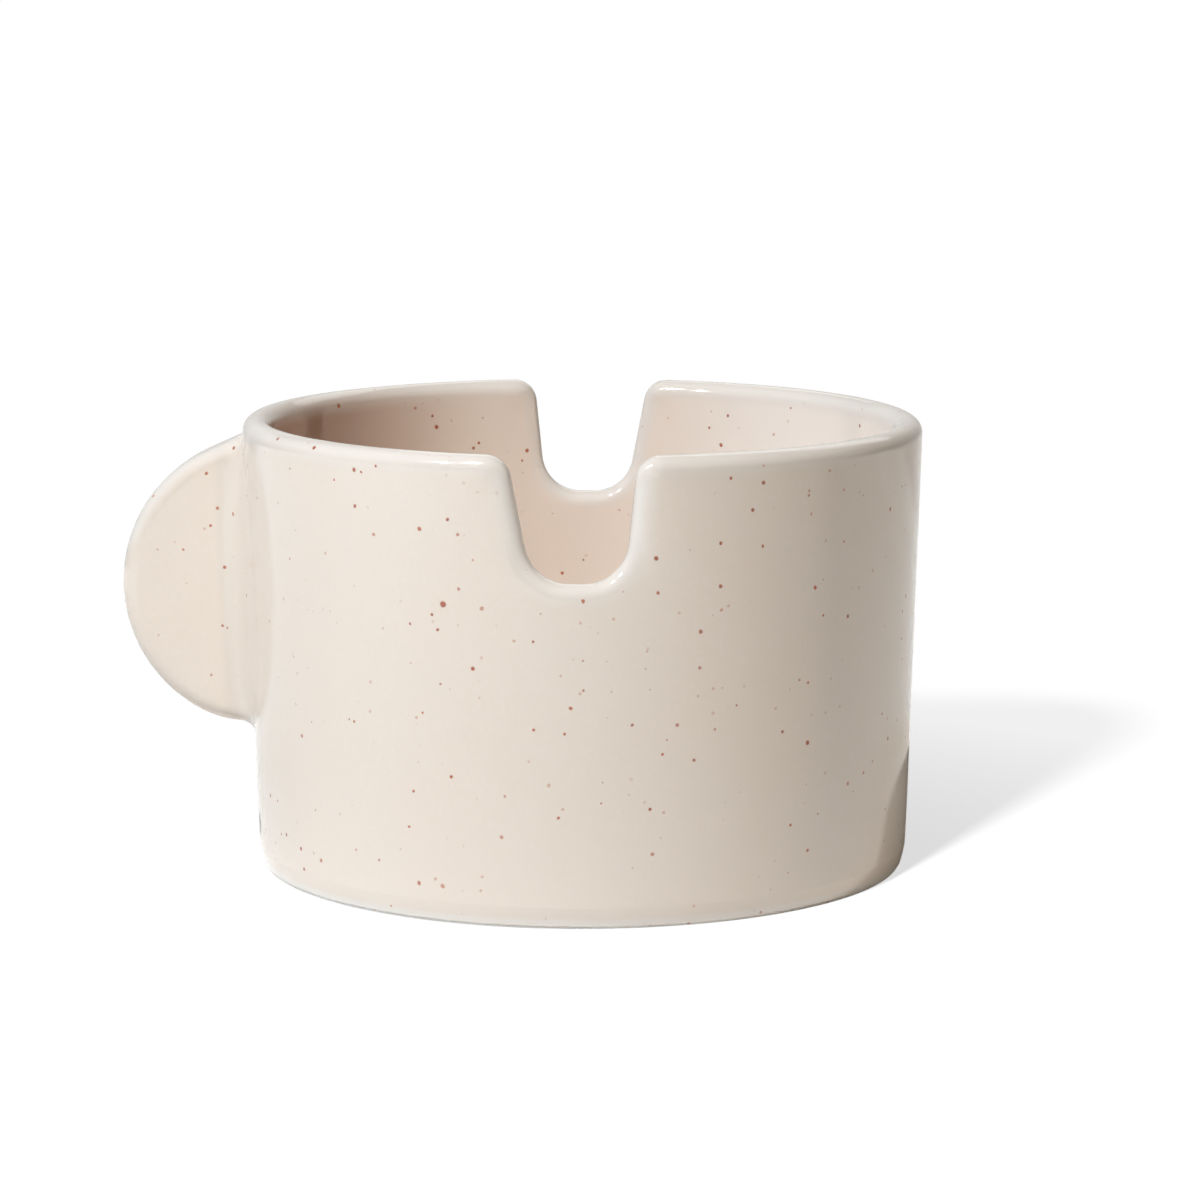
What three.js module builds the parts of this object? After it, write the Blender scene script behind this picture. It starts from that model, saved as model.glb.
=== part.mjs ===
// A small stoneware brush pot. Its round wall tapers towards the table and has two slanting
// notches in the lip, one in front and one behind, where a brush is laid across the pot.
// The wall stands on a base whose inside corner is coved. A thick half-round handle, with
// no finger hole, is joined to the left side and runs from just under the lip to low down.
// Every free edge of the wall is a full round, and it stays one down the notches too.
//
// Millimetres, +Z up. The origin is on the pot's axis at table level, the handle points
// along -X, and the notches face -Y and +Y.

import * as THREE from 'three';

// Pot
const HEIGHT = 64.2;
const RIM_DIAMETER = 96.7; // at the widest place, just under the rounded lip
const BASE_DIAMETER = 93.2; // the outside taper carried down to the table
const WALL = 4.1;

// Base
const SEAT_HEIGHT = 3.0; // where the wall stands on the base
const FLOOR_THICKNESS = 5.0;
const FOOT_EDGE = 1.2; // radius of the edge that meets the table
const CORNER_COVE = 4.0; // radius of the inside corner
const COVE_LAND = 0.6; // width of the cove's upper edge
const JOINT_GAP = 0.3; // between curved faces that are joined with slip

// Notches, cut through the wall, evenly spaced round the rim
const NOTCHES = 2;
const NOTCH_DEPTH = 17.2;
const NOTCH_WIDTH = 17.5; // at rim level, between the flanks carried up
const NOTCH_DRAFT = 8.3; // degrees that each flank opens towards the rim
const NOTCH_LEAN = 2.6; // degrees that the top leans left, seen from outside
const NOTCH_SHOULDER = 3.5; // radius of the corner between rim and flank
const NOTCH_CORNER = 6.0; // radius of the corner between flank and notch bottom

// Handle: a half disc whose centre lies inside the wall
const HANDLE_RADIUS = 20.95;
const HANDLE_INSET = 2.7; // from the wall's outside face to the disc's centre
const HANDLE_DROP = 3.45; // from the rim down to the disc's highest point
const HANDLE_THICKNESS = 7.6;
const HANDLE_EDGE = 2.3; // radius along the outline
const ROOT_FLARE = 3.4; // radius where the flat sides run into the wall
const HEEL_FILLET = 1.4; // radius where the lower edge runs into the wall
const SHOULDER_RISE = 0.8; // how far the top edge rises off the disc at the wall
const SHOULDER_RUN = 5.5; // and how far out it starts to
const HEEL_LIFT = 0.8; // how far the lower edge lifts off the disc at the wall
const HEEL_RUN = 9.0;

// Facets
const RIM_STEP = 2.6; // along straight stretches of the lip
const ARC_STEP = 12; // degrees, in the notch corners
const LIP_STEPS = 8;
const WALL_ROWS = 3;
const BASE_SEGMENTS = 108;
const EDGE_STEPS = 4;
const FLARE_STEPS = 4;
const OUTLINE_STEPS = 12;
const ROOT_STEPS = 3;
const WELD = 1e-4;

const GLAZE_COLOR = 0xe8dbd0;
const CLAY_COLOR = 0xe0dbd3;

const LIP_RADIUS = WALL / 2;
const SHOULDER_HEIGHT = HEIGHT - LIP_RADIUS;

// Outside and inside of the wall at a height
const outerRadius = (z) =>
  THREE.MathUtils.mapLinear(z, 0, SHOULDER_HEIGHT, BASE_DIAMETER / 2, RIM_DIAMETER / 2);
const innerRadius = (z) => outerRadius(z) - WALL;

// Joins rings of points into one closed surface. Points that coincide are shared, and the
// triangles that a collapsed ring leaves without area are dropped.
function loft(rings, endless) {
  const positions = [];
  const indexOf = new Map();
  const vertex = (point) => {
    const key = point.toArray().map((value) => Math.round(value / WELD)).join();
    if (!indexOf.has(key)) {
      indexOf.set(key, positions.length / 3);
      positions.push(...point.toArray());
    }
    return indexOf.get(key);
  };

  const index = [];
  const triangle = (a, b, c) => {
    if (a !== b && b !== c && c !== a) index.push(a, b, c);
  };
  const numbered = rings.map((ring) => ring.map(vertex));
  const spans = endless ? rings.length : rings.length - 1;
  for (let i = 0; i < spans; i++) {
    const here = numbered[i];
    const there = numbered[(i + 1) % rings.length];
    here.forEach((corner, j) => {
      const k = (j + 1) % here.length;
      triangle(corner, there[j], there[k]);
      triangle(corner, there[k], here[k]);
    });
  }

  const geometry = new THREE.BufferGeometry();
  geometry.setAttribute('position', new THREE.Float32BufferAttribute(positions, 3));
  geometry.setIndex(index);
  geometry.computeVertexNormals();
  return geometry;
}

// A curve of straight runs joined by tangent arcs, one for each corner
function roundedLine(start, corners, end) {
  const line = new THREE.CurvePath();
  let from = start;
  corners.forEach(({ at, radius }, i) => {
    const before = i > 0 ? corners[i - 1].at : start;
    const after = i + 1 < corners.length ? corners[i + 1].at : end;
    const heading = at.clone().sub(before).normalize();
    const leaving = after.clone().sub(at).normalize();
    const turn = Math.atan2(heading.cross(leaving), heading.dot(leaving));
    const tangent = radius * Math.tan(Math.abs(turn) / 2);
    const left = new THREE.Vector2(-heading.y, heading.x);
    const arcStart = at.clone().addScaledVector(heading, -tangent);
    const centre = arcStart.clone().addScaledVector(left, radius * Math.sign(turn));
    const angle = arcStart.clone().sub(centre).angle();
    line.add(new THREE.LineCurve(from, arcStart));
    line.add(new THREE.EllipseCurve(
      centre.x, centre.y, radius, radius, angle, angle + turn, turn < 0,
    ));
    from = at.clone().addScaledVector(leaving, tangent);
  });
  line.add(new THREE.LineCurve(from, end));
  return line;
}

// The crest of the lip past one notch, unrolled: x runs round the pot to the right, seen
// from outside, and y is the height
function crestLine(length) {
  const halfTop = NOTCH_WIDTH / 2;
  const halfBottom = halfTop - NOTCH_DEPTH * Math.tan(THREE.MathUtils.degToRad(NOTCH_DRAFT));
  const shift = NOTCH_DEPTH * Math.tan(THREE.MathUtils.degToRad(NOTCH_LEAN));
  const bottom = HEIGHT - NOTCH_DEPTH;
  const at = (x, y) => new THREE.Vector2(x, y);
  return roundedLine(
    at(-length / 2, HEIGHT),
    [
      { at: at(-halfTop, HEIGHT), radius: NOTCH_SHOULDER },
      { at: at(shift - halfBottom, bottom), radius: NOTCH_CORNER },
      { at: at(shift + halfBottom, bottom), radius: NOTCH_CORNER },
      { at: at(halfTop, HEIGHT), radius: NOTCH_SHOULDER },
    ],
    at(length / 2, HEIGHT),
  );
}

// Points along the crest, each with the direction into the clay below it
function crestStations(line) {
  return line.curves.flatMap((curve) => {
    const arc = Math.abs(curve.aEndAngle - curve.aStartAngle);
    const count = curve.isLineCurve
      ? Math.ceil(curve.getLength() / RIM_STEP)
      : Math.ceil(THREE.MathUtils.radToDeg(arc) / ARC_STEP);
    return Array.from({ length: count }, (_, i) => {
      const tangent = curve.getTangent(i / count);
      const inward = new THREE.Vector2(tangent.y, -tangent.x);
      return { crest: curve.getPoint(i / count), inward };
    });
  });
}

// The wall: one closed section for each station of the crest, up the outside, over the
// full-round lip and down the inside
function wallGeometry() {
  const notchRadius = outerRadius(HEIGHT - NOTCH_DEPTH / 2) - LIP_RADIUS;
  const pitch = (2 * Math.PI) / NOTCHES;
  const stations = crestStations(crestLine(pitch * notchRadius));

  const place = (along, z, depth, notch) => {
    const angle = notch * pitch + along / notchRadius;
    const radius = outerRadius(z) - depth;
    return new THREE.Vector3(radius * Math.sin(angle), -radius * Math.cos(angle), z);
  };
  const section = ({ crest, inward }, notch) => {
    const root = crest.clone().addScaledVector(inward, LIP_RADIUS);
    const rows = Array.from({ length: WALL_ROWS }, (_, i) =>
      THREE.MathUtils.lerp(SEAT_HEIGHT, root.y, i / WALL_ROWS));
    const outside = rows.map((z) => place(root.x, z, 0, notch));
    const inside = rows.map((z) => place(root.x, z, WALL, notch)).reverse();
    const lip = Array.from({ length: LIP_STEPS + 1 }, (_, i) => {
      const angle = (Math.PI * i) / LIP_STEPS;
      const edge = root.clone().addScaledVector(inward, -LIP_RADIUS * Math.sin(angle));
      return place(edge.x, edge.y, LIP_RADIUS * (1 - Math.cos(angle)), notch);
    });
    return [...outside, ...lip, ...inside];
  };

  const sections = Array.from({ length: NOTCHES }, (_, notch) =>
    stations.map((station) => section(station, notch))).flat();
  return loft(sections, true);
}

// The base: a flange that the wall stands on, and a floor inside it with a coved edge
function baseGeometry() {
  const coveTop = FLOOR_THICKNESS + CORNER_COVE;
  const plugRadius = (z) => innerRadius(z) - JOINT_GAP;
  const coveCentre = plugRadius(coveTop) - COVE_LAND - CORNER_COVE;
  const profile = new THREE.Path();
  profile.moveTo(0, 0);
  profile.lineTo(outerRadius(FOOT_EDGE) - FOOT_EDGE, 0);
  profile.absarc(outerRadius(FOOT_EDGE) - FOOT_EDGE, FOOT_EDGE, FOOT_EDGE, -Math.PI / 2, 0);
  profile.lineTo(outerRadius(SEAT_HEIGHT), SEAT_HEIGHT);
  profile.lineTo(plugRadius(SEAT_HEIGHT), SEAT_HEIGHT);
  profile.lineTo(plugRadius(coveTop), coveTop);
  profile.lineTo(coveCentre + CORNER_COVE, coveTop);
  profile.absarc(coveCentre, coveTop, CORNER_COVE, 0, -Math.PI / 2, true);
  profile.lineTo(0, FLOOR_THICKNESS);
  return new THREE.LatheGeometry(profile.getPoints(EDGE_STEPS), BASE_SEGMENTS)
    .rotateX(Math.PI / 2);
}

// How much wider a fillet of this radius makes a face, at a distance from what it runs into
const flareAt = (radius, out) =>
  (out < radius ? radius - Math.sqrt(radius ** 2 - (radius - out) ** 2) : 0);

// The handle: closed sections parallel to the wall, from the scribed root to the tip
function handleGeometry() {
  const taper = Math.atan((RIM_DIAMETER - BASE_DIAMETER) / 2 / SHOULDER_HEIGHT);
  const middle = HEIGHT - HANDLE_DROP - HANDLE_RADIUS;
  const tip = HANDLE_RADIUS - HANDLE_INSET;

  // A point given by its distance from the wall, sideways, and up along the wall
  const place = (out, side, up) => {
    const radius = outerRadius(middle) + out * Math.cos(taper) + up * Math.sin(taper);
    const z = middle - out * Math.sin(taper) + up * Math.cos(taper);
    return new THREE.Vector3(-Math.sqrt(radius ** 2 - side ** 2), side, z);
  };

  // How far the outline, moved in by an inset, stands above or below the disc's centre
  const reach = (out, inset, change, run) => {
    const across = out + HANDLE_INSET;
    const disc = Math.sqrt(Math.max(0, (HANDLE_RADIUS - inset) ** 2 - across ** 2));
    return disc + change * Math.max(0, 1 - out / run) ** 2;
  };
  const section = (out, spread) => {
    const left = (tip - out) / HANDLE_EDGE;
    const sweep = left < 1 ? Math.acos(1 - left) : Math.PI / 2;
    const core = HANDLE_THICKNESS / 2 - HANDLE_EDGE;
    const corner = (side, edge) => Array.from({ length: EDGE_STEPS + 1 }, (_, i) => {
      const angle = (sweep * i) / EDGE_STEPS;
      const round = (HANDLE_EDGE + flareAt(ROOT_FLARE, out)) * Math.sin(angle);
      return place(out, side * spread * (core + round), edge(angle));
    });
    const inset = (angle) => HANDLE_EDGE * (1 - Math.cos(angle));
    const top = (angle) => reach(out, inset(angle), SHOULDER_RISE, SHOULDER_RUN);
    const heel = (angle) => -reach(out, inset(angle), -HEEL_LIFT, HEEL_RUN)
      - flareAt(HEEL_FILLET, out) * Math.cos(angle);
    return [
      ...corner(-1, top),
      ...corner(-1, heel).reverse(),
      ...corner(1, heel),
      ...corner(1, top).reverse(),
    ];
  };

  const steps = (count, from, to) =>
    Array.from({ length: count + 1 }, (_, i) => THREE.MathUtils.lerp(from, to, i / count));
  const rootStart = Math.acos(1 - JOINT_GAP / ROOT_FLARE);
  const flareEnd = Math.acos((ROOT_FLARE + HANDLE_INSET) / HANDLE_RADIUS);
  const root = steps(ROOT_STEPS, 0, 1).map((spread) => section(JOINT_GAP, spread));
  const flare = steps(FLARE_STEPS, rootStart, Math.PI / 2).slice(1)
    .map((angle) => section(ROOT_FLARE * (1 - Math.cos(angle)), 1));
  const disc = steps(OUTLINE_STEPS, flareEnd, 0).slice(1)
    .map((angle) => section(HANDLE_RADIUS * Math.cos(angle) - HANDLE_INSET, 1));
  return loft([...root, ...flare, ...disc], false);
}

const glaze = new THREE.MeshStandardMaterial({
  color: GLAZE_COLOR, roughness: 0.25, metalness: 0,
});
const clay = new THREE.MeshStandardMaterial({
  color: CLAY_COLOR, roughness: 0.7, metalness: 0,
});

function named(name, geometry, material) {
  const mesh = new THREE.Mesh(geometry, material);
  mesh.name = name;
  return mesh;
}

const group = new THREE.Group();
group.add(named('wall', wallGeometry(), glaze));
group.add(named('base_slab', baseGeometry(), clay));
group.add(named('handle', handleGeometry(), glaze));

export default group;
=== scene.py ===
"""A small stoneware brush pot: cream glaze with iron specks, two slanting notches in its lip
where a brush is laid, and a solid half-round handle. It stands on a pale table, lit from the
upper left."""

import cmath
import math

import bmesh
import bpy
import numpy as np
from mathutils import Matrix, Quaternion, Vector


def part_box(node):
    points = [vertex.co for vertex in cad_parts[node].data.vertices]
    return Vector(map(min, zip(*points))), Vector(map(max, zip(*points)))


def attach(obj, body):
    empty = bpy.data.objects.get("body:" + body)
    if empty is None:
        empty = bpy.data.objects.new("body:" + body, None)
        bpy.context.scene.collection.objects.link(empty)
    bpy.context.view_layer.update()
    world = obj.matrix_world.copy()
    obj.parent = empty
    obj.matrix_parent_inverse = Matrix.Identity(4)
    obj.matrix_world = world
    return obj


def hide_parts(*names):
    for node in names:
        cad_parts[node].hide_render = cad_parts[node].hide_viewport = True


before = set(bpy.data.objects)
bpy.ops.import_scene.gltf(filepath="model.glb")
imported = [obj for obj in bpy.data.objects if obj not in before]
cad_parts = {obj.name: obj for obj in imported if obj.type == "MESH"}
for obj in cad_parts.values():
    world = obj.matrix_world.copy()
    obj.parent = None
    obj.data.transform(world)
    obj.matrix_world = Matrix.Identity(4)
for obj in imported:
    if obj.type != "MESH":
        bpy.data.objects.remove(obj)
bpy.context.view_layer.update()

MM = 0.001

# Sizes of the pot, in millimetres
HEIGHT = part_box("wall")[1].z / MM
SEAT_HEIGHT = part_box("wall")[0].z / MM  # where the wall stands on the base
COVE_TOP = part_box("base_slab")[1].z / MM
RIM_DIAMETER = 96.7
BASE_DIAMETER = 93.2
WALL = 4.1
LIP_RADIUS = WALL / 2
LIP_CROWD = 2.5  # how closely the rows of the lip crowd at its crest
FLANK_EASE = 1.9  # how slowly a notch's flank grows to the wall's full thickness
FLANK_BLUNT = 0.38  # its edge: from 0 for a square one to 0.5 for a round one
SHOULDER_HEIGHT = HEIGHT - LIP_RADIUS
TAPER = math.atan((RIM_DIAMETER - BASE_DIAMETER) / 2 / SHOULDER_HEIGHT)
FOOT_DRAW = 0.7  # how far the side draws in at the table
FOOT_RISE = 4.4  # and below which height

# Notches, one in front and one behind
NOTCHES = 2
NOTCH_DEPTH = 17.2
NOTCH_WIDTH = 17.5
NOTCH_DRAFT = 8.3  # degrees that each flank opens towards the rim
NOTCH_LEAN = 2.6  # degrees that the top leans left, seen from outside
NOTCH_SHOULDER = 3.5
NOTCH_CORNER = 6.0
NOTCH_OFFSET = 0.15  # round the rim, to the right

# Handle: a half disc whose centre lies inside the wall
HANDLE_RADIUS = 20.95
HANDLE_INSET = 2.7
HANDLE_DROP = 3.45
HANDLE_THICKNESS = 7.6
HANDLE_EDGE = 2.3
ROOT_DEPTH = 1.0  # how far the handle reaches into the wall
ROOT_FLARE = 10.5  # how far its flare runs along the wall, half way up
ROOT_RISE = 4.0  # how far the flare runs out along the handle there
ROOT_LEAST = 0.4  # and at the handle's top and bottom, as a share of that
HEEL_FILLET = 2.0  # under the handle, where it meets the wall
SHOULDER_RISE = 0.8  # how much higher than the disc the handle's top is at the wall
SHOULDER_RUN = 5.5  # and how far out it has sunk to the disc
HEEL_LIFT = 0.8  # how much higher the underside is there too
HEEL_RUN = 9.0  # and how far out it has come down to the disc
SKIRT = 1.6  # how far the flare runs on, just under the wall's surface
SKIRT_DEPTH = 0.012

# Base
FLOOR_THICKNESS = 5.0
CORNER_COVE = COVE_TOP - FLOOR_THICKNESS
PLUG_DEPTH = 0.3  # how far the floor reaches into the wall
FOOT_EDGE = 0.2
GLAZE_LINE = 0.35  # height of the glaze's lower edge; the foot below it is bare
GLAZE_COAT = 0.12  # how far the glaze stands out over the bare foot
GLAZE_ROLL = 0.25  # rounding of its lower edge

# Where the glaze is thin, and where it gathers with painted shade
THIN_REACH = 4.0  # how far from the crest of the lip it is thin
THIN_FOOT = (1.0, 1.7)  # heights between which it grows to its full thickness above the foot
THIN_HANDLE = (0.45, 0.75)  # the handle's edge thins over these parts of the pot's height
GATHER_SHADE_SPAN = (0.5, 0.7, 0.9, 1.2)  # it gathers in the handle's flare, darkened there as painted shade too, in parts of ROOT_RISE

# The slight unevenness of a pot that was finished by hand. Each wave has its count round the pot,
# its depth, its phase, and how far the phase drifts with a millimetre of height.
SIDE_WAVES = ((1, 0.04, math.pi / 2, 0), (3, 0.05, 1.9, 0.03), (5, 0.03, 4.0, 0.07))
OVAL_WAVES = ((2, 0.10, 0.6, 0),)  # these grow towards the rim
RIM_WAVES = ((1, 0.12, -1.15, 0), (3, 0.03, -1.4, 0))  # these lift the rim itself
RIM_RISE = 0.03
RIM_NEARNESS = 6  # how close to the rim the lift stays
UNEVEN_RADIUS = 20  # where the unevenness of the side is full; it fades towards the axis

# Mesh steps
RIM_STEP = 1.0
FLANK_STEP = 0.8
ARC_STEP = math.radians(6)
LIP_STEPS = 24
WALL_ROWS = 18
BASE_SEGMENTS = 360
CORNER_STEPS = 10
SIDE_STEPS = 8
SIDE_ROWS = 24
FLARE_STEPS = 16
OUTLINE_STEPS = 44
WELD = 1e-7
SHARP_ANGLE = math.radians(35)


def outer_radius(z):
    drawn = FOOT_DRAW * np.clip(1 - z / FOOT_RISE, 0, 1) ** 2
    return BASE_DIAMETER / 2 + z * math.tan(TAPER) - drawn


def inner_radius(z):
    return outer_radius(z) - WALL


def drawn_in(distance, flank=0.0):
    """How much each face of the wall draws in, at a distance from the crest of its lip. The lip is
    a full round on the rim. On a notch's flank it is a tighter edge with a long gentle slope."""
    left = np.clip(1 - distance / LIP_RADIUS, 0, 1)
    blunt = (1 - np.exp(-distance / FLANK_EASE)) ** FLANK_BLUNT
    return LIP_RADIUS * (1 - (1 - flank) * np.sqrt(1 - left**2) - flank * blunt)


def waves(table, angle, z):
    return sum(
        depth * np.sin(count * angle + phase + drift * z) for count, depth, phase, drift in table
    )


def hand_made(points):
    """Moves points in millimetres by the unevenness of the pot."""
    x, y, z = points[..., 0], points[..., 1], points[..., 2]
    angle = np.arctan2(y, x)
    share = np.clip(z / HEIGHT, 0, 1)
    swell = waves(SIDE_WAVES, angle, z) + waves(OVAL_WAVES, angle, z) * share
    radius = np.maximum(np.hypot(x, y), 1e-6)
    grown = 1 + swell / radius * np.clip(radius / UNEVEN_RADIUS, 0, 1)
    rise = (RIM_RISE + waves(RIM_WAVES, angle, z)) * share**RIM_NEARNESS
    return np.stack([x * grown, y * grown, z + rise], -1)


def loft(name, rings, endless, **coats):
    """A closed smooth mesh through rings of points in millimetres. Each of the coats says for each
    point how much the glaze has changed there, from 0 to 1: thin, or gathered and darkened as
    painted shade."""
    rings = hand_made(np.asarray(rings, float)) * MM
    count, size = rings.shape[:2]
    spans = count if endless else count - 1
    here = np.arange(spans)[:, None] * size
    there = (np.arange(1, spans + 1)[:, None] % count) * size
    j = np.arange(size)[None, :]
    k = (j + 1) % size
    faces = np.stack([here + j, there + j, there + k, here + k], -1).reshape(-1, 4)

    mesh = bpy.data.meshes.new(name)
    mesh.from_pydata(rings.reshape(-1, 3).tolist(), [], faces.tolist())
    for coat, amount in coats.items():
        amount = np.broadcast_to(amount, (count, size)).astype(np.float32)
        mesh.attributes.new(coat, "FLOAT", "POINT").data.foreach_set("value", amount.ravel())
    solid = bmesh.new()
    solid.from_mesh(mesh)
    bmesh.ops.remove_doubles(solid, verts=solid.verts, dist=WELD)
    bmesh.ops.recalc_face_normals(solid, faces=solid.faces)
    solid.to_mesh(mesh)
    solid.free()
    mesh.set_sharp_from_angle(angle=SHARP_ANGLE)
    piece = bpy.data.objects.new(name, mesh)
    bpy.context.scene.collection.objects.link(piece)
    return piece


def straight(start, end, step):
    """Points with headings from start up to, but without, end."""
    count = math.ceil(abs(end - start) / step)
    heading = (end - start) / abs(end - start)
    return [(start + (end - start) * i / count, heading) for i in range(count)]


def arc(start, heading, radius, turn):
    """Points with headings round an arc, without its end."""
    count = math.ceil(abs(turn) / ARC_STEP)
    centre = start + heading * 1j * math.copysign(radius, turn)
    turns = [cmath.rect(1, turn * i / count) for i in range(count)]
    return [(centre + (start - centre) * t, heading * t) for t in turns]


def crest_line(length):
    """The crest of the lip past one notch, unrolled: x runs round the pot to the right, seen from
    outside, and y is the height. Points and headings are complex numbers."""
    half_top = NOTCH_WIDTH / 2
    half_bottom = half_top - NOTCH_DEPTH * math.tan(math.radians(NOTCH_DRAFT))
    shift = NOTCH_DEPTH * math.tan(math.radians(NOTCH_LEAN))
    bottom = HEIGHT - NOTCH_DEPTH
    corners = [
        (complex(-half_top, HEIGHT) + NOTCH_OFFSET, NOTCH_SHOULDER),
        (complex(shift - half_bottom, bottom) + NOTCH_OFFSET, NOTCH_CORNER),
        (complex(shift + half_bottom, bottom) + NOTCH_OFFSET, NOTCH_CORNER),
        (complex(half_top, HEIGHT) + NOTCH_OFFSET, NOTCH_SHOULDER),
    ]
    here, end = complex(-length / 2, HEIGHT), complex(length / 2, HEIGHT)
    bends = [here, *(corner for corner, _ in corners), end]
    line = []
    for before, (corner, radius), after in zip(bends, corners, bends[2:]):
        heading = (corner - before) / abs(corner - before)
        leaving = (after - corner) / abs(after - corner)
        turn = cmath.phase(leaving / heading)
        tangent = radius * math.tan(abs(turn) / 2)
        step = FLANK_STEP if line else RIM_STEP
        line += straight(here, corner - heading * tangent, step)
        line += arc(corner - heading * tangent, heading, radius, turn)
        here = corner + leaving * tangent
    return line + straight(here, end, RIM_STEP)


def nearest(line, points):
    """The distance of each point from a line of straight runs, and how steep the line is there,
    from 0 to 1. All are complex numbers."""
    start, run = line[:-1], np.diff(line)
    share = ((points[..., None] - start) * run.conj()).real / abs(run) ** 2
    distance = abs(points[..., None] - start - run * np.clip(share, 0, 1))
    steep = (run.imag / abs(run)) ** 2
    return distance.min(-1), steep[distance.argmin(-1)]


def build_wall():
    """The wall: a section for each point of the crest, up the outside, over the lip and down the
    inside."""
    notch_radius = outer_radius(HEIGHT - NOTCH_DEPTH / 2) - LIP_RADIUS
    pitch = 2 * math.pi / NOTCHES
    line = crest_line(pitch * notch_radius)
    crest = np.array([point for point, _ in line])[:, None]
    inward = np.array([heading * -1j for _, heading in line])[:, None]
    root = crest + inward * LIP_RADIUS

    share = 1 - (1 - np.arange(WALL_ROWS) / WALL_ROWS) ** 2
    rows = root.real + 1j * (SEAT_HEIGHT + (root.imag - SEAT_HEIGHT) * share)
    distance, steep = nearest(crest[:, 0], rows)
    drawn = drawn_in(distance, steep)
    turn = np.linspace(-1, 1, LIP_STEPS + 1)
    below = LIP_RADIUS * abs(turn) ** LIP_CROWD
    lip = crest + inward * below
    half = np.sign(turn) * (LIP_RADIUS - drawn_in(below, inward.real**2))
    flat = np.concatenate([rows, lip, rows[:, ::-1]], 1)
    depth = np.concatenate([drawn, LIP_RADIUS + half, WALL - drawn[:, ::-1]], 1)

    radius = outer_radius(flat.imag) - depth
    rings = []
    for notch in range(NOTCHES):
        angle = notch * pitch + flat.real / notch_radius
        rings.append(np.stack([radius * np.sin(angle), -radius * np.cos(angle), flat.imag], -1))
    on_lip = np.broadcast_to(below, half.shape)
    from_crest = np.concatenate([distance, on_lip, distance[:, ::-1]], 1)
    thin = np.clip(1 - from_crest / THIN_REACH, 0, 1)
    return loft("glazed_wall", np.concatenate(rings), True, thin=np.concatenate([thin] * NOTCHES))


def turned(name, profile):
    """A solid of revolution from its profile of radii and heights, which starts and ends on the
    axis. Near the table its glaze is thin."""
    profile = np.array(profile)
    angle = np.arange(BASE_SEGMENTS)[:, None] * 2 * math.pi / BASE_SEGMENTS
    x = profile[:, 0] * np.cos(angle)
    y = profile[:, 0] * np.sin(angle)
    z = np.broadcast_to(profile[:, 1], x.shape)
    thin = np.interp(profile[:, 1], THIN_FOOT, (1, 0))
    return loft(name, np.stack([x, y, z], -1), True, thin=thin)


def rounded(centre_radius, centre_height, size, start, end):
    """Profile points along a round edge, between two angles in degrees."""
    angles = np.radians(np.linspace(start, end, CORNER_STEPS + 1))
    return [(centre_radius + size * math.cos(a), centre_height + size * math.sin(a)) for a in angles]


def build_floor():
    """The glazed part of the base: its side, and the floor with its coved corner."""
    roll_top = GLAZE_LINE + GLAZE_ROLL
    roll_centre = outer_radius(roll_top) - GLAZE_ROLL
    cove_centre = inner_radius(COVE_TOP) - CORNER_COVE
    side = [(outer_radius(z), z) for z in np.linspace(roll_top, SEAT_HEIGHT, SIDE_STEPS + 1)[1:]]
    return turned("glazed_floor", [
        (0, GLAZE_LINE),
        (roll_centre, GLAZE_LINE),
        *rounded(roll_centre, roll_top, GLAZE_ROLL, -90, 0)[1:],
        *side,
        (inner_radius(SEAT_HEIGHT) + PLUG_DEPTH, SEAT_HEIGHT),
        (inner_radius(COVE_TOP) + PLUG_DEPTH, COVE_TOP),
        *rounded(cove_centre, COVE_TOP, CORNER_COVE, 0, -90),
        (inner_radius(COVE_TOP) / 2, FLOOR_THICKNESS),
        (0, FLOOR_THICKNESS),
    ])


def build_foot():
    """The bare foot that stands on the table."""
    side = outer_radius(FOOT_EDGE) - GLAZE_COAT
    return turned("bare_foot", [
        (0, 0),
        (side / 2, 0),
        *rounded(side - FOOT_EDGE, FOOT_EDGE, FOOT_EDGE, -90, 0),
        (side, GLAZE_LINE),
        (0, GLAZE_LINE),
    ])


def flare(width, rise, out):
    """How much wider a fillet makes a face, at a distance from what it runs into. The fillet is
    this wide along what it runs into, and rises this far out of it."""
    if out < 0:
        return width
    return width * (1 - math.sqrt(1 - (1 - out / rise) ** 2)) if out < rise else 0


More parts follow.
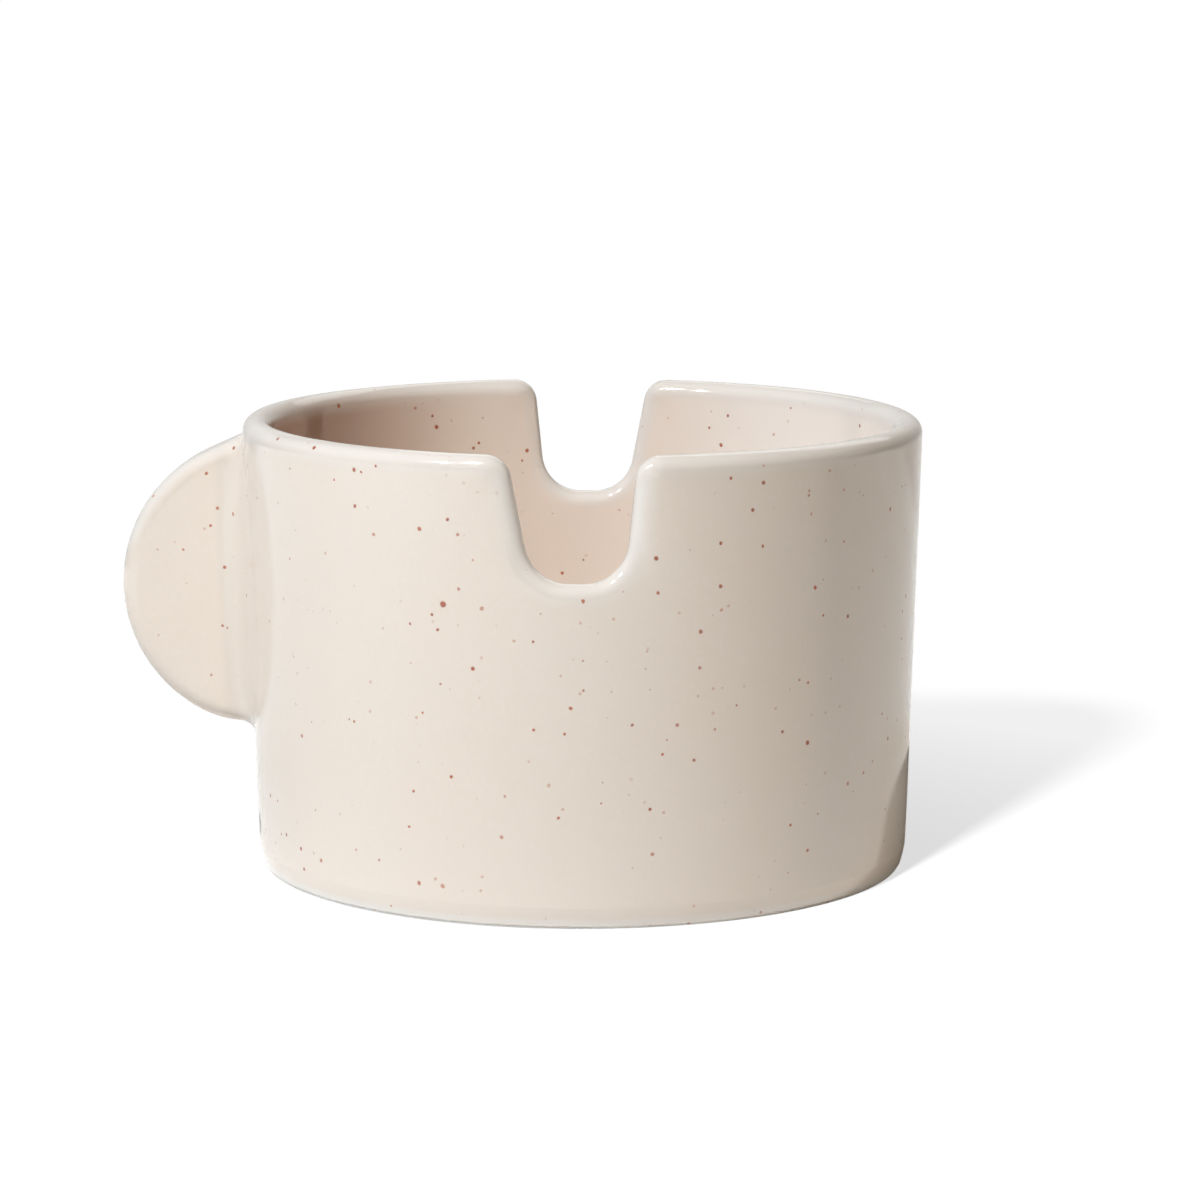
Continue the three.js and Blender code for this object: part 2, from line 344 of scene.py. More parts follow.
def handle_ring(out, spread=1):
    """One section of the handle, parallel to the wall and at a distance out from it. A spread of 0
    closes it to a line."""
    middle = HEIGHT - HANDLE_DROP - HANDLE_RADIUS
    left = (HANDLE_RADIUS - HANDLE_INSET - out) / HANDLE_EDGE
    sweep = math.acos(1 - left) if left < 1 else math.pi / 2
    core = HANDLE_THICKNESS / 2 - HANDLE_EDGE
    skirt = SKIRT if out < 0 else 0

    def reach(angle, change, run):
        disc = (HANDLE_RADIUS - HANDLE_EDGE * (1 - math.cos(angle))) ** 2 - (out + HANDLE_INSET) ** 2
        return math.sqrt(max(0, disc)) + change * max(0, 1 - max(0, out) / run) ** 2

    def side(angle, up):
        fill = math.sqrt(max(0, 1 - (up / HANDLE_RADIUS) ** 2))
        rise = ROOT_RISE * (ROOT_LEAST + (1 - ROOT_LEAST) * fill)
        root = flare(ROOT_FLARE * fill, rise, out) + skirt
        return spread * (core + HANDLE_EDGE * math.sin(angle) + root)

    angles = [sweep * i / CORNER_STEPS for i in range(CORNER_STEPS + 1)]
    top = [(a, reach(a, SHOULDER_RISE, SHOULDER_RUN)) for a in angles]
    heel = [
        (a, -reach(a, -HEEL_LIFT, HEEL_RUN) - flare(HEEL_FILLET, HEEL_FILLET, out) * math.cos(a))
        for a in angles
    ]
    rows = [i / SIDE_ROWS for i in range(1, SIDE_ROWS)]
    face = [(top[-1][0], top[-1][1] + (heel[-1][1] - top[-1][1]) * row) for row in rows]
    front = [(side(angle, up), up) for angle, up in [*top, *face, *heel[::-1]]]
    outline = [(-across, up) for across, up in front] + front[::-1]

    ring = []
    for across, up in outline:
        radius = outer_radius(middle) + out * math.cos(TAPER) + up * math.sin(TAPER)
        z = middle - out * math.sin(TAPER) + up * math.cos(TAPER)
        radius -= drawn_in(HEIGHT - z) * max(0, 1 - max(0, out) / ROOT_RISE)
        ring.append((-math.sqrt(radius**2 - across**2), across, z))
    return ring


def build_handle():
    """The handle, from its root inside the wall, through the flare, out to the tip."""
    flare_end = math.acos((ROOT_RISE + HANDLE_INSET) / HANDLE_RADIUS)
    flare_turns = np.linspace(0, math.pi / 2, FLARE_STEPS + 1)
    disc_turns = np.linspace(flare_end, 0, OUTLINE_STEPS + 1)[1:]
    outs = [
        -ROOT_DEPTH,
        -SKIRT_DEPTH,
        *(ROOT_RISE * (1 - math.cos(turn)) for turn in flare_turns),
        *(HANDLE_RADIUS * math.cos(turn) - HANDLE_INSET for turn in disc_turns),
    ]
    rings = [handle_ring(-ROOT_DEPTH, 0), *(handle_ring(out) for out in outs)]
    edge = np.cos(np.linspace(0, math.pi / 2, CORNER_STEPS + 1))
    side = np.concatenate([edge, np.zeros(SIDE_ROWS - 1), edge[::-1]])
    height = np.array(rings)[..., 2] / HEIGHT
    thin = np.concatenate([side, side[::-1]]) * np.interp(height, THIN_HANDLE, (0, 1))
    # How much glaze gathers in the flare, with painted shade there
    gathered = np.interp([outs[0], *outs], np.array(GATHER_SHADE_SPAN) * ROOT_RISE, (0, 1, 1, 0))
    return loft("glazed_handle", rings, False, thin=thin, gathered=gathered[:, None])


# Materials: sizes are in millimetres and colours are linear

GLAZE = (0.82, 0.722, 0.64)
GLAZE_WARM = (0.82, 0.712, 0.625)
GLAZE_PALE = (0.85, 0.77, 0.70)
GLAZE_THIN = (0.83, 0.785, 0.745)
# gathered glaze in the handle's flare, and painted shade that darkens the flare's bright band
GLAZE_GATHERED_SHADE = (0.78, 0.686, 0.606)
# Inside the pot, painted shade and light: dark on the handle's side, which the lamps don't reach,
# through the inside colour to pale on the side that faces them
GLAZE_PAINTED_SHADE_INSIDE = (0.42, 0.235, 0.155)
GLAZE_INSIDE = (0.89, 0.765, 0.67)
GLAZE_PAINTED_LIGHT_INSIDE = (0.98, 0.91, 0.85)
RUST = (0.54, 0.19, 0.10)
RUST_DARK = (0.38, 0.105, 0.055)
FAINT_SPECK = (0.62, 0.38, 0.28)
CLAY = (0.84, 0.815, 0.785)
CLAY_SHADE = (0.78, 0.745, 0.70)

CLOUD_SIZE = 22
GRAIN_SIZE = 0.7
GRAIN_SHARE = 0.25  # how much of the pale glaze shows in the grain
BOUNCE_LIGHT_HEIGHT = 25  # painted light: the glaze is painted paler below this height, for the light from the table
BOUNCE_LIGHT_SHARE = 0.4  # and has this much of the pale glaze at the table
THIN_SHARE = 0.8
INSIDE_SPAN = (44.6, 46.2)  # radii between which the inside turns into the outside
PAINTED_SHADE_SPAN = (-46, -14)  # inside, from the handle's side: from the painted shade to the plain inside colour
PAINTED_LIGHT_SPAN = (0, 34)  # and on to the painted light
RIPPLE_SIZE = 6
RIPPLE_DEPTH = 0.02
GLAZE_ROUGHNESS = (0.06, 0.09)
GLAZE_IOR = 1.58

CLAY_CLOUD_SIZE = 9
CLAY_GRAIN_SIZE = 0.25
CLAY_GRAIN_DEPTH = 0.05
CLAY_ROUGHNESS = (0.7, 0.85)

# The largest specks: degrees round from the front, height and width
WALL_SPECKS = (
    (-21, 44, 0.9), (-25, 54, 0.6), (-20, 55.5, 0.55), (-42, 59.5, 0.4), (-33, 62, 0.4),
    (-36, 61, 0.4), (-23, 42.5, 0.45), (-27, 41, 0.4), (-22, 40.5, 0.45), (-16, 35.5, 0.6),
    (0, 30.5, 0.55), (-25, 29, 0.4), (-39, 26.5, 0.4), (-20, 20.5, 0.5), (-27, 18, 0.45),
    (-6, 27.5, 0.45), (-1, 27, 0.4), (-2, 15.5, 0.45), (-28, 13, 0.4), (-6, 39.5, 0.4),
    (2, 45, 0.55), (14, 46, 0.5), (26, 61, 0.45), (30, 56.5, 0.55), (32, 51.5, 0.45),
    (43, 45, 0.6), (45, 41, 0.4), (42, 32, 0.45), (15, 24, 0.4), (13, 16.5, 0.45),
    (39, 12.5, 0.45), (43, 8.5, 0.5),
)
INSIDE_SPECKS = (
    (-123, 62.5, 0.7), (-147, 59.5, 0.45), (-157, 55, 0.5), (-167, 53.5, 0.6), (-166, 52, 0.4),
    (-174, 34.5, 0.55), (152, 59.5, 0.5), (156, 57.5, 0.4), (137, 61.5, 0.4),
)
# and across and up on the front face of the handle
HANDLE_SPECKS = (
    (-53.5, 56, 0.5), (-52, 51, 0.5), (-53, 48.5, 0.45), (-57, 45, 0.4), (-51, 42.5, 0.6),
    (-51.5, 34, 0.4),
)
SPECK_RING = 48  # radius at which the specks of the wall are told apart
SPECK_BLUR = (-0.07, 0.10)  # from outside a speck's edge to inside it

# The other specks are scattered
FAINT_SPECKS = {"spacing": 2.2, "share": 0.55, "smallest": 0.13, "largest": 0.27, "offset": 7.3}
STRONG_SPECKS = {"spacing": 2.9, "share": 0.6, "smallest": 0.16, "largest": 0.34, "offset": 0.0}
CLAY_GRIT = {"spacing": 2.4, "share": 0.5, "smallest": 0.08, "largest": 0.3, "offset": 3.1}
FAINT_COVER = (0.3, 0.8)  # how much of the glaze a speck hides, from the least to the most
STRONG_COVER = (0.75, 1.0)
GRIT_COVER = 0.8
SPECK_RAGGED = (0.5, 0.22)  # size and depth of the unevenness of a speck's edge
GRIT_RAGGED = (0.4, 0.2)


def add(tree, kind, inputs, **settings):
    """Adds a node. Each input is a socket to link or a value to set."""
    node = tree.nodes.new("ShaderNode" + kind)
    for name, value in settings.items():
        setattr(node, name, value)
    for key, value in inputs.items():
        if isinstance(value, bpy.types.NodeSocket):
            tree.links.new(value, node.inputs[key])
        elif isinstance(value, tuple) and len(value) == 3 and node.inputs[key].type == "RGBA":
            node.inputs[key].default_value = (*value, 1)
        else:
            node.inputs[key].default_value = value
    return node


def math_node(tree, operation, *values):
    node = add(tree, "Math", dict(enumerate(values)), operation=operation)
    return node.outputs[0]


def ramp(tree, value, low, high, from_value=0.0, to_value=1.0, easing="SMOOTHSTEP"):
    """Goes from one value to another while the input goes from low to high."""
    inputs = {
        "Value": value, "From Min": low, "From Max": high, "To Min": from_value, "To Max": to_value,
    }
    return add(tree, "MapRange", inputs, interpolation_type=easing).outputs["Result"]


def blend_colors(tree, factor, first, second):
    node = tree.nodes.new("ShaderNodeMix")
    node.data_type = "RGBA"
    for index, value in ((0, factor), (6, first), (7, second)):
        if isinstance(value, bpy.types.NodeSocket):
            tree.links.new(value, node.inputs[index])
        else:
            node.inputs[index].default_value = (*value, 1) if index else value
    return node.outputs[2]


def noise(tree, place, size, detail=2.0):
    """Noise whose lumps are about this many millimetres across."""
    return add(tree, "TexNoise", {"Vector": place, "Scale": 1 / size, "Detail": detail}).outputs["Fac"]


def new_material(name):
    """An empty material, its shader, and the place in millimetres on the object."""
    material = bpy.data.materials.new(name)
    material.use_nodes = True
    tree = material.node_tree
    shader = tree.nodes["Principled BSDF"]
    object_place = tree.nodes.new("ShaderNodeTexCoord").outputs["Object"]
    place = add(tree, "VectorMath", {0: object_place, "Scale": 1 / MM}, operation="SCALE").outputs[0]
    return material, tree, shader, place


def swap_shader(tree, shader, other):
    """Puts another shader in the place of the material's own."""
    tree.links.new(other.outputs[0], tree.nodes["Material Output"].inputs[0])
    tree.nodes.remove(shader)


def bump(tree, shader, height, depth):
    """Raises the surface by up to this many millimetres."""
    node = add(tree, "Bump", {"Height": height, "Distance": depth * MM, "Strength": 1.0})
    tree.links.new(node.outputs[0], shader.inputs["Normal"])


def ragged(tree, place, size, amount):
    """The place, shifted a little so that what is drawn there gets an uneven edge."""
    colors = add(tree, "TexNoise", {"Vector": place, "Scale": 1 / size, "Detail": 1.0}).outputs["Color"]
    centred = add(tree, "VectorMath", {0: colors, 1: (0.5, 0.5, 0.5)}, operation="SUBTRACT").outputs[0]
    shift = add(tree, "VectorMath", {0: centred, "Scale": amount}, operation="SCALE").outputs[0]
    return add(tree, "VectorMath", {0: place, 1: shift}).outputs[0]


def scattered_specks(tree, place, spacing, share, smallest, largest, offset):
    """Specks in a share of the cells that are spacing wide. Returns how much of a speck covers the
    place and a random number for each speck."""
    moved = add(tree, "VectorMath", {0: place, 1: (offset, offset, offset)}).outputs[0]
    cells = add(tree, "TexVoronoi", {"Vector": moved, "Scale": 1 / spacing})
    chance = add(tree, "SeparateColor", {0: cells.outputs["Color"]})
    distance = math_node(tree, "MULTIPLY", cells.outputs["Distance"], spacing)
    radius = ramp(tree, chance.outputs[0], 1 - share, 1.0, 0.0, 1.0)
    exists = math_node(tree, "GREATER_THAN", chance.outputs[0], 1 - share)
    wide = math_node(tree, "MULTIPLY_ADD", radius, largest - smallest, smallest)
    inside = math_node(tree, "SUBTRACT", wide, distance)
    cover = ramp(tree, inside, *SPECK_BLUR)
    return math_node(tree, "MULTIPLY", cover, exists), chance.outputs[1]


def placed_specks(tree, place, specks):
    """How far inside the nearest of these specks the place is, each a centre and a width."""
    inside = None
    for centre, width in specks:
        distance = add(tree, "VectorMath", {0: place, 1: centre}, operation="DISTANCE").outputs["Value"]
        depth = math_node(tree, "SUBTRACT", width / 2, distance)
        inside = math_node(tree, "MAXIMUM", inside, depth) if inside else depth
    return inside


def on_ring(degrees, height):
    angle = math.radians(degrees)
    return (SPECK_RING * math.sin(angle), -SPECK_RING * math.cos(angle), height)


def flattened(tree, place):
    """The place without its height."""
    return add(tree, "VectorMath", {0: place, 1: (1, 1, 0)}, operation="MULTIPLY").outputs[0]


def inside_share(tree, place):
    """1 inside the pot and 0 outside. It changes over the lip."""
    across = add(tree, "VectorMath", {0: flattened(tree, place)}, operation="LENGTH").outputs["Value"]
    return ramp(tree, across, *INSIDE_SPAN, 1.0, 0.0)


def plain_glaze(tree, place, grain, inside):
    """The colour of the glaze without its specks. Shade and light are painted into it inside the pot,
    near the table and in the handle's flare.
    """
    cloudy = noise(tree, place, CLOUD_SIZE, 3)
    color = blend_colors(tree, ramp(tree, cloudy, 0.35, 0.65), GLAZE_WARM, GLAZE)
    color = blend_colors(tree, ramp(tree, grain, 0.45, 0.75, 0.0, GRAIN_SHARE), color, GLAZE_PALE)
    along, _, height = add(tree, "SeparateXYZ", {0: place}).outputs
    # Painted light towards the table: the glaze is painted paler low down, standing in for light from
    # the table below
    pale = ramp(tree, height, 0, BOUNCE_LIGHT_HEIGHT, BOUNCE_LIGHT_SHARE, 0.0)
    color = blend_colors(tree, pale, color, GLAZE_PALE)
    # Painted shade and light inside: darker on the handle's side, paler on the lit side
    pooled = blend_colors(tree, ramp(tree, along, *PAINTED_SHADE_SPAN), GLAZE_PAINTED_SHADE_INSIDE, GLAZE_INSIDE)
    pooled = blend_colors(tree, ramp(tree, along, *PAINTED_LIGHT_SPAN), pooled, GLAZE_PAINTED_LIGHT_INSIDE)
    color = blend_colors(tree, inside, color, pooled)
    # The handle's flare: darker for gathered glaze and for painted shade
    gathered = add(tree, "Attribute", {}, attribute_name="gathered").outputs["Fac"]
    color = blend_colors(tree, gathered, color, GLAZE_GATHERED_SHADE)
    thin = add(tree, "Attribute", {}, attribute_name="thin").outputs["Fac"]
    return blend_colors(tree, ramp(tree, thin, 0.1, 0.9, 0.0, THIN_SHARE), color, GLAZE_THIN)


def largest_specks(tree, place, inside):
    """How much the placed specks cover the place. Those of the wall are told apart on a ring round
    the pot, and show on its outside or on its inside."""
    outward = add(tree, "VectorMath", {0: flattened(tree, place)}, operation="NORMALIZE").outputs[0]
    ring = add(tree, "VectorMath", {0: outward, "Scale": SPECK_RING}, operation="SCALE").outputs[0]
    upright = add(tree, "VectorMath", {0: place, 1: (0, 0, 1)}, operation="MULTIPLY").outputs[0]
    ring = add(tree, "VectorMath", {0: ring, 1: upright}).outputs[0]
    on_wall = placed_specks(tree, ring, [(on_ring(d, z), width) for d, z, width in WALL_SPECKS])
    on_wall = math_node(tree, "SUBTRACT", on_wall, inside)
    within = placed_specks(tree, ring, [(on_ring(d, z), width) for d, z, width in INSIDE_SPECKS])
    within = math_node(tree, "SUBTRACT", within, math_node(tree, "SUBTRACT", 1.0, inside))
    face = -HANDLE_THICKNESS / 2
    on_handle = placed_specks(tree, place, [((x, face, z), width) for x, z, width in HANDLE_SPECKS])
    nearest_edge = math_node(tree, "MAXIMUM", on_wall, math_node(tree, "MAXIMUM", within, on_handle))
    return ramp(tree, nearest_edge, *SPECK_BLUR)


def glaze_material():
    material, tree, shader, place = new_material("speckled_glaze")
    uneven = ragged(tree, place, *SPECK_RAGGED)
    grain = noise(tree, place, GRAIN_SIZE, 2)
    inside = inside_share(tree, place)
    color = plain_glaze(tree, place, grain, inside)

    faint, faint_tone = scattered_specks(tree, uneven, **FAINT_SPECKS)
    faint_cover = math_node(tree, "MULTIPLY", faint, ramp(tree, faint_tone, 0, 1, *FAINT_COVER))
    color = blend_colors(tree, faint_cover, color, FAINT_SPECK)
    strong, strong_tone = scattered_specks(tree, uneven, **STRONG_SPECKS)
    rust = blend_colors(tree, strong_tone, RUST, RUST_DARK)
    strong_cover = math_node(tree, "MULTIPLY", strong, ramp(tree, strong_tone, 0, 1, *STRONG_COVER))
    strong_cover = math_node(tree, "MAXIMUM", strong_cover, largest_specks(tree, uneven, inside))
    color = blend_colors(tree, strong_cover, color, rust)
    tree.links.new(color, shader.inputs["Base Color"])

    bump(tree, shader, noise(tree, place, RIPPLE_SIZE, 1), RIPPLE_DEPTH)
    roughness = ramp(tree, grain, 0.3, 0.7, *GLAZE_ROUGHNESS)
    tree.links.new(roughness, shader.inputs["Roughness"])
    shader.inputs["IOR"].default_value = GLAZE_IOR
    return material


def clay_material():
    material, tree, shader, place = new_material("bare_stoneware")
    cloudy = noise(tree, place, CLAY_CLOUD_SIZE, 4)
    color = blend_colors(tree, ramp(tree, cloudy, 0.35, 0.65), CLAY, CLAY_SHADE)
    grit, tone = scattered_specks(tree, ragged(tree, place, *GRIT_RAGGED), **CLAY_GRIT)
    color = blend_colors(tree, math_node(tree, "MULTIPLY", grit, GRIT_COVER), color, RUST)
    tree.links.new(color, shader.inputs["Base Color"])
    bump(tree, shader, noise(tree, place, CLAY_GRAIN_SIZE, 4), CLAY_GRAIN_DEPTH)
    tree.links.new(ramp(tree, tone, 0, 1, *CLAY_ROUGHNESS), shader.inputs["Roughness"])
    return material


# The pot

glaze = glaze_material()
clay = clay_material()
wall = build_wall()
handle = build_handle()
floor_slab = build_floor()
foot = build_foot()
for piece, node, material, slot in (
    (wall, "wall", glaze, "speckled_glaze"),
    (handle, "handle", glaze, "speckled_glaze"),
    (floor_slab, "base_slab", glaze, "speckled_glaze"),
    (foot, "base_slab", clay, "bare_stoneware"),
):
    piece.data.materials.append(material)
    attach(piece, "root")
    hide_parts(node)
pot_pieces = (wall, handle, floor_slab, foot)


# The table, the white ground that the camera sees, and the studio round them

TABLE_LOW = (-1.2, -1.2)  # its corners, in metres
TABLE_HIGH = (0.9, 0.31)
TABLE_CORNER = 0.06
TABLE_CORNER_STEPS = 18
TABLE_ALBEDO = 0.86
TABLE_MIRRORED = {"front": 1.3, "beside": 1.1, "behind": 1.95}  # its brightness in reflections
TABLE_FRONT = 80  # where it has the brightness of the front: millimetres from the pot's axis
TABLE_BACK = 300  # and where it has that of the back
GROUND_REACH = 6
GROUND_SHADE_NEAR = 0.71  # brightness of the ground in the pot's shadow, beside the pot
GROUND_SHADE_FAR = 0.87  # and where the shadow ends
GROUND_SHADE_REACH = 120
SHADE_FADE = (112, 140)  # where the shadow fades away at the back
GROUND_ALBEDO = 0.1
GROUND_SUNLIT = 1.01  # brightness of the ground in the sun

SUN_AZIMUTH = -21.5
SUN_ELEVATION = 29
SUN_SPREAD = 5.5

STUDIO_SIDES = 60
STUDIO_RADIUS = 2.5
STUDIO_HEIGHT = 2.5
STUDIO_GLOW = 0.64  # the pale wall behind the table, as the glaze mirrors it
STUDIO_LOW = 0.85  # and this far below the table's height
STUDIO_LOW_DEPTH = 300
STUDIO_COLOR = (1.0, 0.98, 0.95)
STUDIO_SPREAD = (10, 72)  # degrees to each side where the pale wall starts to darken, and ends
STUDIO_TOP = 25  # degrees above the table where it ends
STUDIO_TOP_EDGE = (0.8, 1.2)  # and how softly


def rectangle(name, low, high, z, corner=0.0):
    """A flat sheet facing up, with rounded corners."""
    turns = np.linspace(0, math.pi / 2, TABLE_CORNER_STEPS + 1) if corner else [0]
    outline = []
    ends = [high, (low[0], high[1]), low, (high[0], low[1])]
    for quarter, (x, y) in enumerate(ends):
        cx = x - corner if x == high[0] else x + corner
        cy = y - corner if y == high[1] else y + corner
        for turn in turns:
            a = turn + quarter * math.pi / 2
            outline.append((cx + corner * math.cos(a), cy + corner * math.sin(a), z))
    mesh = bpy.data.meshes.new(name)
    mesh.from_pydata(outline, [], [list(range(len(outline)))])
    sheet = bpy.data.objects.new(name, mesh)
    bpy.context.scene.collection.objects.link(sheet)
    return sheet


def see(sheet, camera=False, diffuse=False, glossy=False, shadow=False):
    """Sets which rays meet the sheet."""
    sheet.visible_camera = camera
    sheet.visible_diffuse = diffuse
    sheet.visible_glossy = glossy
    sheet.visible_transmission = glossy
    sheet.visible_shadow = shadow


def table_material():
    """White paper. It is overexposed where the glaze mirrors it, as the ground is to the camera."""
    material, tree, shader, place = new_material("table_paper")
    path = tree.nodes.new("ShaderNodeLightPath")
    back = add(tree, "SeparateXYZ", {0: place}).outputs[1]
    front, beside, behind = TABLE_MIRRORED.values()
    mirrored = ramp(tree, back, -TABLE_FRONT, 0, front, beside)
    share = math_node(tree, "MAXIMUM", math_node(tree, "DIVIDE", back, TABLE_BACK), 0.0)
    mirrored = math_node(tree, "MULTIPLY_ADD", share, behind - beside, mirrored)
    extra = math_node(tree, "SUBTRACT", mirrored, TABLE_ALBEDO)
    gain = math_node(tree, "MULTIPLY_ADD", extra, path.outputs["Is Glossy Ray"], TABLE_ALBEDO)
    swap_shader(tree, shader, add(tree, "BsdfDiffuse", {"Color": gain}))
    return material


def ground_material():
    """White where the sun falls. The pot's shadow is grey, lighter further out, and fades away at
    the back."""
    material, tree, shader, place = new_material("white_ground")
    flat = add(tree, "VectorMath", {0: place}, operation="LENGTH").outputs["Value"]
    shade = ramp(
        tree, flat, BASE_DIAMETER / 2, GROUND_SHADE_REACH, GROUND_SHADE_NEAR, GROUND_SHADE_FAR,
        easing="LINEAR",
    )
    depth = add(tree, "SeparateXYZ", {0: place}).outputs[1]
    fade = ramp(tree, depth, *SHADE_FADE)
    glow = math_node(tree, "MULTIPLY_ADD", fade, math_node(tree, "SUBTRACT", 1.0, shade), shade)
    rest = math_node(tree, "SUBTRACT", GROUND_SUNLIT, glow)
    rest = math_node(tree, "MULTIPLY", rest, GROUND_ALBEDO)
    tree.links.new(rest, shader.inputs["Base Color"])
    shader.inputs["Specular IOR Level"].default_value = 0.0
    shader.inputs["Emission Color"].default_value = (1, 1, 1, 1)
    tree.links.new(glow, shader.inputs["Emission Strength"])
    return material


def build_table():
    """A white table that lights the pot and shows in the glaze, but not to the camera."""
    sheet = rectangle("table", TABLE_LOW, TABLE_HIGH, 0.0, TABLE_CORNER)
    sheet.data.materials.append(table_material())
    see(sheet, diffuse=True, glossy=True, shadow=True)
    return sheet


def build_ground():
    """The ground that only the camera sees, at the height of the table."""
    sheet = rectangle("ground", (-GROUND_REACH, -GROUND_REACH), (GROUND_REACH, GROUND_REACH), 0.0)
    sheet.data.materials.append(ground_material())
    see(sheet, camera=True)
    return sheet


def studio_material():
    material, tree, shader, place = new_material("studio")
    across, back, height = add(tree, "SeparateXYZ", {0: place}).outputs
    angle = math_node(tree, "ABSOLUTE", math_node(tree, "ARCTAN2", across, back))
    around = ramp(tree, angle, *(math.radians(side) for side in STUDIO_SPREAD), 1.0, 0.0)
    top = STUDIO_RADIUS / MM * math.tan(math.radians(STUDIO_TOP))
    high = ramp(tree, height, *(top * share for share in STUDIO_TOP_EDGE), 1.0, 0.0)
    low = ramp(tree, height, -STUDIO_LOW_DEPTH, 0, STUDIO_LOW, STUDIO_GLOW)
    glow = math_node(tree, "MULTIPLY", math_node(tree, "MULTIPLY", around, high), low)
    swap_shader(tree, shader, add(tree, "Emission", {"Color": STUDIO_COLOR, "Strength": glow}))
    return material


def build_studio():
    """A round room that only reflections see: dark, but for a pale wall behind the table."""
    sides = range(STUDIO_SIDES)
    turns = [2 * math.pi * i / STUDIO_SIDES for i in sides]
    corners = []
    for z in (-STUDIO_HEIGHT / 2, STUDIO_HEIGHT):
        corners += [(STUDIO_RADIUS * math.cos(a), STUDIO_RADIUS * math.sin(a), z) for a in turns]
    after = [(i + 1) % STUDIO_SIDES for i in sides]
    faces = [(i, after[i], STUDIO_SIDES + after[i], STUDIO_SIDES + i) for i in sides]
    faces.append(tuple(STUDIO_SIDES + i for i in sides))
    mesh = bpy.data.meshes.new("studio")
    mesh.from_pydata(corners, [], faces)
    mesh.materials.append(studio_material())
    sheet = bpy.data.objects.new("studio", mesh)
    bpy.context.scene.collection.objects.link(sheet)
    see(sheet, glossy=True)


def aim(thing, azimuth, elevation, distance, target=(0, 0, 0)):
    """Puts a lamp or camera at a direction and distance, in metres, looking at the target. Azimuth
    is in degrees from the front, to the right."""
    a, e = math.radians(azimuth), math.radians(elevation)
    back = Vector((math.sin(a) * math.cos(e), -math.cos(a) * math.cos(e), math.sin(e)))
    thing.location = Vector(target) + back * distance
    thing.rotation_mode = "QUATERNION"
    thing.rotation_quaternion = (-back).to_track_quat("-Z", "Y")


def lamp(name, azimuth, elevation, distance, kind="AREA", **settings):
    light = bpy.data.lights.new(name, kind)
    for key, value in settings.items():
        setattr(light, key, value)
    thing = bpy.data.objects.new(name, light)
    bpy.context.scene.collection.objects.link(thing)
    aim(thing, azimuth, elevation, distance, (0, 0, HEIGHT / 2 * MM))
    return thing


def group(name, things):
    collection = bpy.data.collections.new(name)
    for thing in things:
        collection.objects.link(thing)
    return collection


table = build_table()
ground = build_ground()
build_studio()

# These lamps light the pot and the table, and show in no reflection
lamps = [
    lamp(
        "key", azimuth=-34.5, elevation=54.3, distance=0.866,
        shape="DISK", size=0.05, energy=5.66, color=(1, 0.952, 0.884),
    ),
    lamp(
        "soft", azimuth=-52, elevation=40, distance=1.2,
        shape="RECTANGLE", size=0.26, size_y=0.16, energy=4.56, color=(0.60, 0.805, 1),
    ),
    lamp(
        "right", azimuth=70, elevation=28, distance=1.2,
        shape="SQUARE", size=0.6, energy=2.25, color=(1, 0.88, 0.72),
    ),
    lamp(
        "left", azimuth=-116, elevation=28, distance=1.2,
        shape="SQUARE", size=0.7, energy=1.0, color=(1, 0.94, 0.80),
    ),
]
# These show only where the wall and the floor mirror them
mirrored_lamps = [
    lamp("glint", azimuth=-51, elevation=40, distance=1.2, shape="DISK", size=0.06, energy=4.0),
    lamp(
        "streak", azimuth=-54, elevation=40, distance=1.25,
        shape="RECTANGLE", size=0.26, size_y=0.08, energy=0.12,
    ),
    lamp(
        "upper_glint", azimuth=-42, elevation=50, distance=0.866,
        shape="DISK", size=0.05, energy=4.0,
    ),
    lamp(
        "overhead", azimuth=165, elevation=38, distance=1.2,
        shape="RECTANGLE", size=1.0, size_y=0.5, energy=2.0,
    ),
]
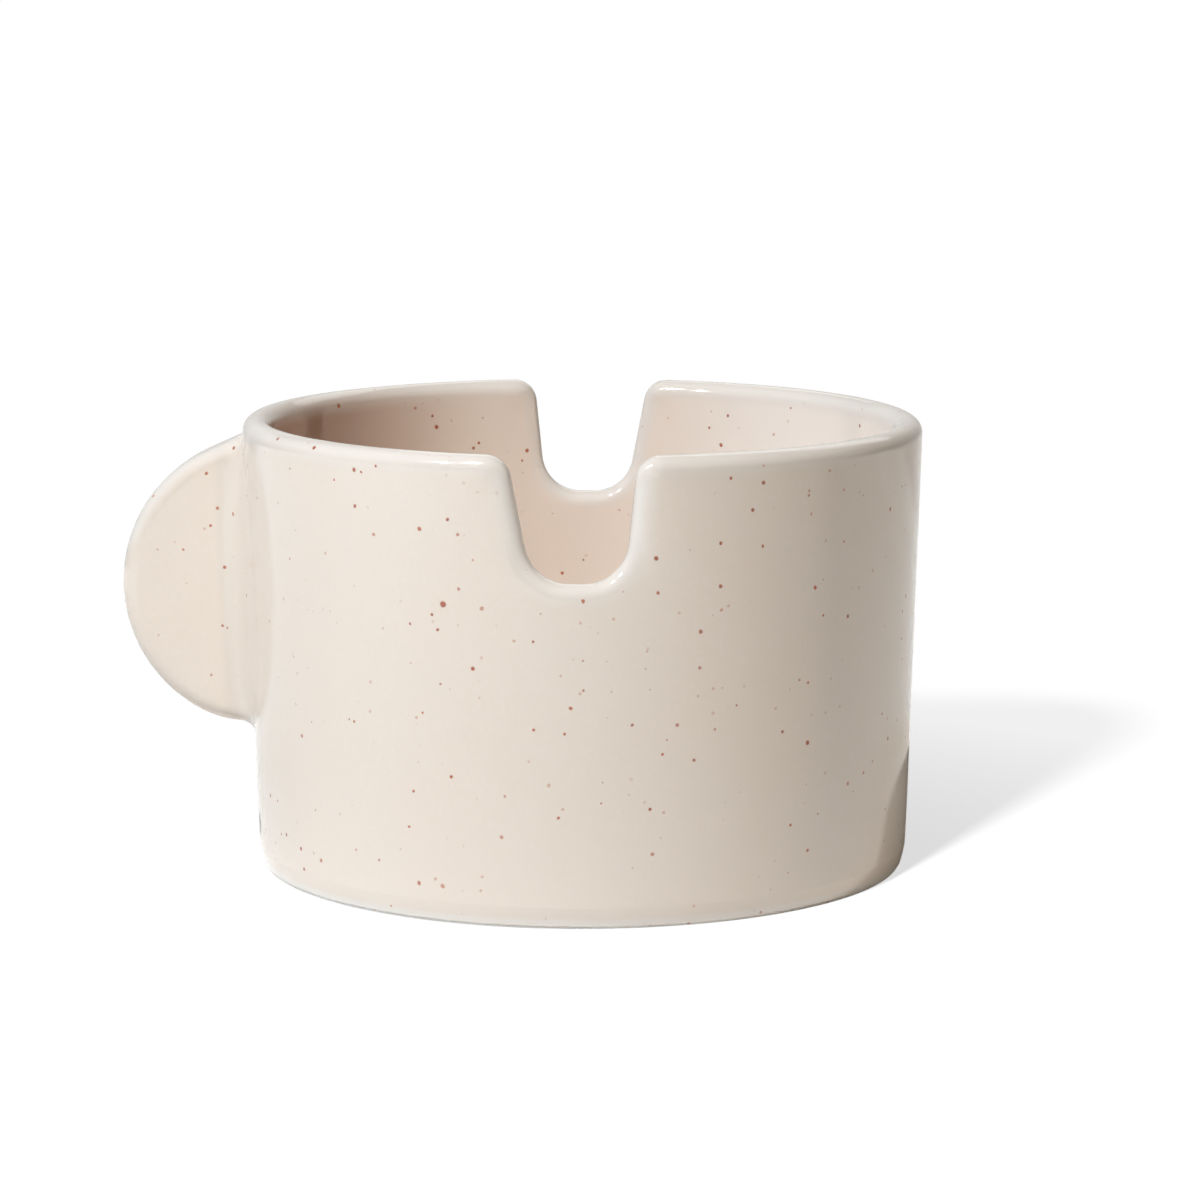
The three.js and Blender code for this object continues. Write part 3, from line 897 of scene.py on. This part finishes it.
# This one lights the ground and casts the pot's shadow on it
ground_sun = lamp(
    "ground_sun", SUN_AZIMUTH, SUN_ELEVATION, 2.0, kind="SUN", angle=math.radians(SUN_SPREAD),
    energy=math.pi / GROUND_ALBEDO / math.sin(math.radians(SUN_ELEVATION)),
)
lit_by_studio = group("lit_by_studio", [*pot_pieces, table])
mirrors_lamps = group("mirrors_lamps", [wall, floor_slab])
for light in lamps:
    light.visible_glossy = False
    light.light_linking.receiver_collection = lit_by_studio
for light in mirrored_lamps:
    light.visible_diffuse = False
    light.light_linking.receiver_collection = mirrors_lamps
ground_sun.light_linking.receiver_collection = group("lit_by_sun", [ground])
ground_sun.light_linking.blocker_collection = group("sun_blockers", pot_pieces)


def build_world():
    """White where the camera or a mirror looks; it lights nothing."""
    world = bpy.data.worlds.new("studio")
    bpy.context.scene.world = world
    world.use_nodes = True
    tree = world.node_tree
    path = tree.nodes.new("ShaderNodeLightPath").outputs
    seen = math_node(tree, "MAXIMUM", path["Is Camera Ray"], path["Is Glossy Ray"])
    seen = math_node(tree, "MAXIMUM", seen, path["Is Transmission Ray"])
    tree.nodes["Background"].inputs["Color"].default_value = (1, 1, 1, 1)
    tree.links.new(seen, tree.nodes["Background"].inputs["Strength"])


build_world()


# Camera

CAMERA_AZIMUTH = 1.65
CAMERA_ELEVATION = 9.277
CAMERA_DISTANCE = 0.61385
CAMERA_TARGET = (0.002527, 0.000073, 0.037403)
CAMERA_ROLL = 0.001
CAMERA_LENS = 128.08
CAMERA_SENSOR = 36

camera = bpy.data.objects.new("camera", bpy.data.cameras.new("camera"))
bpy.context.scene.collection.objects.link(camera)
aim(camera, CAMERA_AZIMUTH, CAMERA_ELEVATION, CAMERA_DISTANCE, CAMERA_TARGET)
camera.rotation_quaternion @= Quaternion((0, 0, 1), CAMERA_ROLL)
camera.data.lens = CAMERA_LENS
camera.data.sensor_width = CAMERA_SENSOR
camera.data.clip_start, camera.data.clip_end = 0.01, 100
bpy.context.scene.camera = camera
bpy.context.scene.view_settings.view_transform = "Standard"
